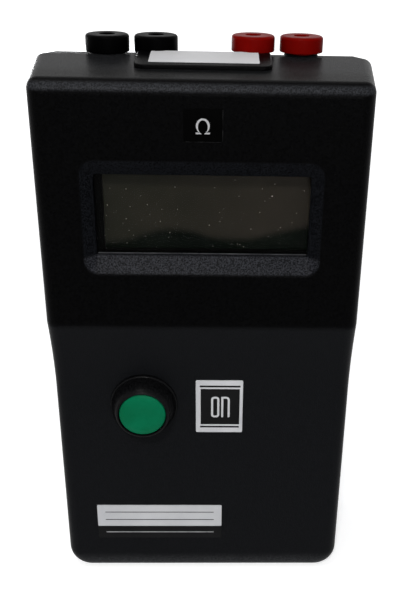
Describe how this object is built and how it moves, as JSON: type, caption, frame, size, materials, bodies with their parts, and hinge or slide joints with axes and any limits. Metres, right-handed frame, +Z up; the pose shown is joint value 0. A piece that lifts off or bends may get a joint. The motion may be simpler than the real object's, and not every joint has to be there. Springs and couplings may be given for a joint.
{
  "type": "handheld ohmmeter",
  "caption": "Handheld low-resistance meter: two-part plastic case with a recessed display, a push button, screw-down terminals on the top end and a battery door on the back.",
  "frame": {"origin": "middle of the whole ohmmeter at the flat bottom end that it stands on", "axes": "+Z up along the case to the terminals, +X to the right seen from the front, +Y to the back, so the display faces -Y"},
  "size_m": [0.1024, 0.0478, 0.1857],
  "materials": {
    "shell": "fine moulded grain",
    "gloss_black": "polished",
    "window": "clear, polished",
    "lcd": "dark display glass",
    "rubber": "matt",
    "board": "solder mask",
    "chip": "matt",
    "blue": "satin",
    "green": "satin",
    "red": "polished",
    "red_lead": "satin",
    "black_lead": "satin",
    "steel": "plated",
    "brass": "plated",
    "paper": "printed sticker",
    "ink": "printed black",
    "battery": "printed can"
  },
  "bodies": {
    "case": {"front_shell": "shell", "rear_shell": "shell", "end_plate": "shell", "end_label": "paper", "ohm_label": "ink", "on_label": "paper", "name_label": "paper", "name_strip": "ink", "display_window": "window", "lcd_frame": "ink", "lcd_glass": "lcd", "contact_strip_upper": "rubber", "contact_strip_lower": "rubber", "display_board": "board", "meter_chip": "chip", "main_board": "board", "board_link": "chip", "amplifier_chip": "chip", "calibration_trimmer": "blue", "switch_bezel": "gloss_black", "switch_spring": "steel", "switch_nut": "steel", "switch_body": "chip", "switch_contact_left": "brass", "switch_contact_right": "brass", "battery": "battery", "battery_snap": "rubber", "switch_lead": "blue", "battery_lead": "red_lead", "terminal_collar_black_outer": "gloss_black", "terminal_post_black_outer": "brass", "terminal_nut_black_outer": "steel", "terminal_lead_black_outer": "black_lead", "terminal_collar_black_inner": "gloss_black", "terminal_post_black_inner": "brass", "terminal_nut_black_inner": "steel", "terminal_lead_black_inner": "black_lead", "terminal_collar_red_inner": "red", "terminal_post_red_inner": "brass", "terminal_nut_red_inner": "steel", "terminal_lead_red_inner": "red_lead", "terminal_collar_red_outer": "red", "terminal_post_red_outer": "brass", "terminal_nut_red_outer": "steel", "terminal_lead_red_outer": "red_lead", "case_screw_lower_left": "steel", "case_screw_lower_right": "steel", "case_screw_upper_left": "steel", "case_screw_upper_right": "steel"},
    "button": {"switch_cap": "green", "switch_plunger": "brass"},
    "battery_door": {"battery_cover": "shell"},
    "thread_black_outer": {"terminal_insert_black_outer": "brass"},
    "cap_black_outer": {"terminal_cap_black_outer": "gloss_black"},
    "thread_black_inner": {"terminal_insert_black_inner": "brass"},
    "cap_black_inner": {"terminal_cap_black_inner": "gloss_black"},
    "thread_red_inner": {"terminal_insert_red_inner": "brass"},
    "cap_red_inner": {"terminal_cap_red_inner": "red"},
    "thread_red_outer": {"terminal_insert_red_outer": "brass"},
    "cap_red_outer": {"terminal_cap_red_outer": "red"}
  },
  "joints": [
    {"name": "button_press", "type": "slide", "parent": "case", "child": "button", "axis": [0, 1, 0], "range_m": [0, 0.003], "stiffness_N_per_m": 500, "springref_m": -0.002, "deforming": ["switch_spring"]},
    {"name": "battery_door_pull", "type": "slide", "parent": "case", "child": "battery_door", "axis": [0, 1, 0], "range_m": [0, 0.016]},
    {"name": "thread_lift_black_outer", "type": "slide", "parent": "case", "child": "thread_black_outer", "axis": [0, 0, 1], "range_m": [0, 0.0021]},
    {"name": "cap_turn_black_outer", "type": "hinge", "parent": "thread_black_outer", "child": "cap_black_outer", "pos_m": [-0.0297, 0.01225, 0.18055], "axis": [0, 0, 1], "range_deg": [0, 1080]},
    {"name": "thread_lift_black_inner", "type": "slide", "parent": "case", "child": "thread_black_inner", "axis": [0, 0, 1], "range_m": [0, 0.0021]},
    {"name": "cap_turn_black_inner", "type": "hinge", "parent": "thread_black_inner", "child": "cap_black_inner", "pos_m": [-0.01485, 0.01225, 0.18055], "axis": [0, 0, 1], "range_deg": [0, 1080]},
    {"name": "thread_lift_red_inner", "type": "slide", "parent": "case", "child": "thread_red_inner", "axis": [0, 0, 1], "range_m": [0, 0.0021]},
    {"name": "cap_turn_red_inner", "type": "hinge", "parent": "thread_red_inner", "child": "cap_red_inner", "pos_m": [0.01485, 0.01225, 0.18095], "axis": [0, 0, 1], "range_deg": [0, 1080]},
    {"name": "thread_lift_red_outer", "type": "slide", "parent": "case", "child": "thread_red_outer", "axis": [0, 0, 1], "range_m": [0, 0.0021]},
    {"name": "cap_turn_red_outer", "type": "hinge", "parent": "thread_red_outer", "child": "cap_red_outer", "pos_m": [0.0297, 0.01225, 0.18095], "axis": [0, 0, 1], "range_deg": [0, 1080]}
  ],
  "couplings": [
    {"joint": "cap_turn_black_outer", "follows": "thread_lift_black_outer", "rad_per_m": 8975},
    {"joint": "cap_turn_black_inner", "follows": "thread_lift_black_inner", "rad_per_m": 8975},
    {"joint": "cap_turn_red_inner", "follows": "thread_lift_red_inner", "rad_per_m": 8975},
    {"joint": "cap_turn_red_outer", "follows": "thread_lift_red_outer", "rad_per_m": 8975}
  ]
}
